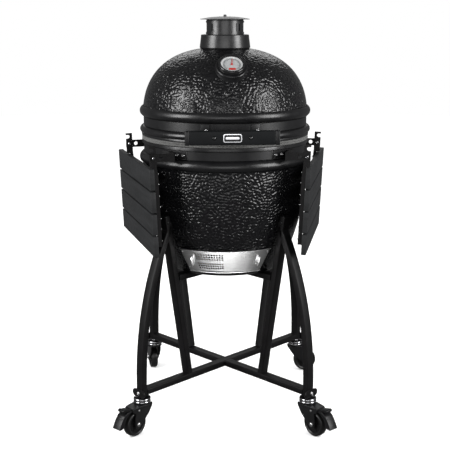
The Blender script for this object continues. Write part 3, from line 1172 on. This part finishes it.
# ---------------------------------------------------------------- lid hinge
def make_hinge():
    bolts = []
    for z, radius in ((0.860, 0.2628), (0.943, 0.2628)):
        for x in (-0.030, 0.0, 0.030):
            angle = pi - atan2(x, radius)
            bolts.append((z, moved(hex_head(0.0050, 0.0036), on_band(angle, z, radius))))
    make("hinge_base_bolts", join(*[b for z, b in bolts if z < SEAM]), ZINC, "stand_and_base", (),
         HARDWARE)
    make("hinge_lid_bolts", join(*[b for z, b in bolts if z > SEAM]), ZINC, "lid", (), HARDWARE)
    ends = [moved(hex_head(0.0075, 0.0050), pointing((s * 0.0620, HINGE_Y, HINGE_Z), (s, 0, 0)))
            for s in (-1, 1)]
    make("hinge_pin_nuts", join(*ends), ZINC, "stand_and_base", (), HARDWARE)
    for side, name in ((-1, "left"), (1, "right")):
        turns, per_turn = 7, 28
        count = turns * per_turn
        path = [(side * (0.0125 + 0.0315 * i / count), HINGE_Y + 0.011 * cos(2 * pi * i / per_turn),
                 HINGE_Z + 0.011 * sin(2 * pi * i / per_turn)) for i in range(count + 1)]
        make("hinge_coil_" + name, wire(path, 0.0015, 10), SPRING, "stand_and_base", ["hinge_spring_" + name],
             HARDWARE)


# ---------------------------------------------------------------- side tables
def table_frame(side):
    """X runs along the table to the back, Y up along the slats and Z outwards."""
    along = Vector((side * sin(TABLE_TOE), cos(TABLE_TOE), 0))
    out = Vector((side * cos(TABLE_TOE), -sin(TABLE_TOE), 0))
    up = Vector((0, 0, 1)) * cos(TABLE_LEAN) + out * sin(TABLE_LEAN)
    face = out * cos(TABLE_LEAN) - Vector((0, 0, 1)) * sin(TABLE_LEAN)
    middle = Vector((side * TABLE_MIDDLE[0], TABLE_MIDDLE[1], TABLE_TOP))
    origin = middle - along * TABLE_LENGTH / 2
    return HARDWARE @ Matrix.Translation(origin) @ Matrix((along, up, face)).transposed().to_4x4()


def make_table(side, name):
    place, body = table_frame(side), name + "_table"
    for i in range(SLATS):
        high = -i * (SLAT_TALL + SLAT_GAP)
        slat = block((0, high - SLAT_TALL, -SLAT_THICK), (TABLE_LENGTH, high, 0), 0.0016, 3)
        make("%s_board_%d" % (name, i + 1), slat, BOARD, body, ["%s_table_slat_%d" % (name, i + 1)],
             place)
    screws, heads = [], []
    for at, step in zip(PIVOTS, (-1, 1)):
        for i in range(SLATS):
            for k in (0.25, 0.75):
                y = -i * (SLAT_TALL + SLAT_GAP) - SLAT_TALL * k
                if y < -0.245:
                    continue
                spot = place @ Matrix.Translation((at, y, -SLAT_THICK - 0.0130))
                screws.append(moved(button_head(0.0030, 0.0016), spot @ Matrix.Rotation(pi, 4, "X")))
        pin = place @ Matrix.Translation((at, PIVOT_UP, -PIVOT_IN))
        for sign, reach in ((-step, 0.0026), (step, 0.0090)):
            spot = pin @ Matrix.Translation((sign * reach, 0, 0)) @ Matrix.Rotation(sign * pi / 2, 4, "Y")
            heads.append(moved(button_head(0.0056, 0.0044), spot))
    make(name + "_board_screws", join(*screws), ZINC, body, ())
    make(name + "_pivot_bolts", join(*heads), BOLT, body, ())


# ---------------------------------------------------------------- solids kept as they are
KEPT = {
    "black_steel": STEEL,
    "stainless": STAINLESS,
    "chrome": CHROME,
}


def dress_kept_nodes():
    """Gives each CAD solid that is still shown its procedural material."""
    slots = {part["node"]: part["material_slot"] for part in frame["record"]["subparts"]}
    for name, obj in frame["nodes"].items():
        if obj.hide_render:
            continue
        obj.data.materials.clear()
        obj.data.materials.append(KEPT[slots[name]])


# ---------------------------------------------------------------- studio
def light_only(lamp, names):
    """Lets a lamp light only the named objects."""
    lit = bpy.data.collections.new(lamp.name + "_lit")
    for name in names:
        lit.objects.link(bpy.data.objects[name])
    lamp.light_linking.receiver_collection = lit


def make_floor():
    """A pale floor with a light of its own. The camera sees it, but the pieces don't mirror it."""
    paper = Nodes("studio_floor", (0.86, 0.86, 0.86), 0.8)
    paper.colours(paper.noise(3.0, 2.0), (0.85, 0.85, 0.85), (0.88, 0.88, 0.88))
    mesh = mesh_of(lathe([(0.0, -0.0005), (FLOOR_RADIUS, -0.0005)], 64))
    mesh.materials.append(paper.material)
    floor = bpy.data.objects.new("studio_floor", mesh)
    bpy.context.scene.collection.objects.link(floor)
    floor.visible_glossy = False
    floor.visible_diffuse = False
    sky = bpy.data.lights.new("floor_light", "SUN")
    sky.energy, sky.angle = FLOOR_LIGHT, radians(100)
    above = bpy.data.objects.new("floor_light", sky)
    bpy.context.scene.collection.objects.link(above)
    light_only(above, ["studio_floor"])


def make_room():
    """A room that is white to the camera and dim to the pieces."""
    world = bpy.data.worlds.new("studio")
    bpy.context.scene.world = world
    world.use_nodes = True
    tree = world.node_tree
    background = tree.nodes["Background"]
    background.inputs["Color"].default_value = (1.0, 1.0, 1.0, 1.0)
    rays = tree.nodes.new("ShaderNodeLightPath")
    strength = tree.nodes.new("ShaderNodeMapRange")
    strength.inputs["To Min"].default_value = DIM_ROOM
    strength.inputs["To Max"].default_value = WHITE_ROOM
    tree.links.new(rays.outputs["Is Camera Ray"], strength.inputs["Value"])
    tree.links.new(strength.outputs["Result"], background.inputs["Strength"])


def make_lamps():
    for name, spot, aim, wide, tall, power in LAMPS:
        data = bpy.data.lights.new(name, "AREA")
        data.shape = "RECTANGLE"
        data.size, data.size_y = wide, tall
        data.energy = power
        lamp = bpy.data.objects.new(name, data)
        lamp.location = spot
        lamp.rotation_euler = (Vector(aim) - Vector(spot)).to_track_quat("-Z", "Y").to_euler()
        bpy.context.scene.collection.objects.link(lamp)
    glow = bpy.data.objects["door_glow"]
    glow.visible_camera = False
    light_only(glow, ["draft_frame_sheet", "draft_mesh_sheet", "draft_solid_sheet"])


def make_camera():
    data = bpy.data.cameras.new("camera")
    data.sensor_width = 36.0
    data.lens = CAMERA_LENS
    camera = bpy.data.objects.new("camera", data)
    camera.location = (0.0, -CAMERA_BACK, CAMERA_UP)
    camera.rotation_euler = (CAMERA_PITCH, 0.0, 0.0)
    bpy.context.scene.collection.objects.link(camera)
    bpy.context.scene.camera = camera
    bpy.context.scene.view_settings.view_transform = "Standard"


def main():
    make_stand()
    for corner in CASTERS:
        make_caster(corner)
    make_base()
    make_inside()
    make_bands()
    make_draft()
    make_lid()
    make_gauge()
    make_handle()
    make_chimney()
    make_hinge()
    make_table(-1, "left")
    make_table(1, "right")
    dress_kept_nodes()
    make_floor()
    make_room()
    make_lamps()
    make_camera()


main()
